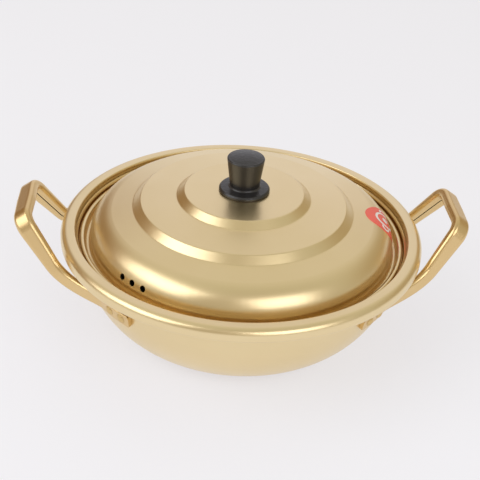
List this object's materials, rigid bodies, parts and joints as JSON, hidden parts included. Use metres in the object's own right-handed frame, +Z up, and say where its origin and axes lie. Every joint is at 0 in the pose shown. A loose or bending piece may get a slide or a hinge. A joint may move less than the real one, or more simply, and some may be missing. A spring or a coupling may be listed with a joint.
{
  "type": "hot pot pan",
  "caption": "Wide shallow spun aluminium hot pot pan with a rolled rim, riveted loop handles at its sides and a stepped lift-off lid with a knob and steam vents.",
  "frame": {"origin": "middle of the pan's flat base, on the surface it stands on", "axes": "+Z up along the axis of the pan and the lid, +X towards the right-hand handle, -Y towards the viewer"},
  "size_m": [0.2686, 0.2174, 0.1118],
  "materials": {
    "pan_aluminium": "pale gold satin anodised",
    "lid_aluminium": "pale gold satin anodised",
    "handle_aluminium": "pale gold satin anodised",
    "rivet_aluminium": "pale gold satin anodised",
    "knob_plastic": "black moulded phenolic plastic",
    "insert_brass": "plain turned brass",
    "screw_steel": "zinc-plated",
    "washer_steel": "zinc-plated",
    "sticker_film": "red printed film"
  },
  "bodies": {
    "pan": {"pan_body": "pan_aluminium", "handle_right": "handle_aluminium", "handle_left": "handle_aluminium", "rivet_right_rear_far": "rivet_aluminium", "rivet_right_rear_near": "rivet_aluminium", "rivet_right_front_far": "rivet_aluminium", "rivet_right_front_near": "rivet_aluminium", "rivet_left_front_far": "rivet_aluminium", "rivet_left_front_near": "rivet_aluminium", "rivet_left_rear_far": "rivet_aluminium", "rivet_left_rear_near": "rivet_aluminium"},
    "lid": {"lid_shell": "lid_aluminium", "knob": "knob_plastic", "knob_insert": "insert_brass", "knob_screw": "screw_steel", "knob_washer": "washer_steel", "size_sticker": "sticker_film"}
  },
  "joints": [
    {"name": "lid_lift", "type": "slide", "parent": "pan", "child": "lid", "axis": [0, 0, 1], "range_m": [0, 0.12]}
  ]
}
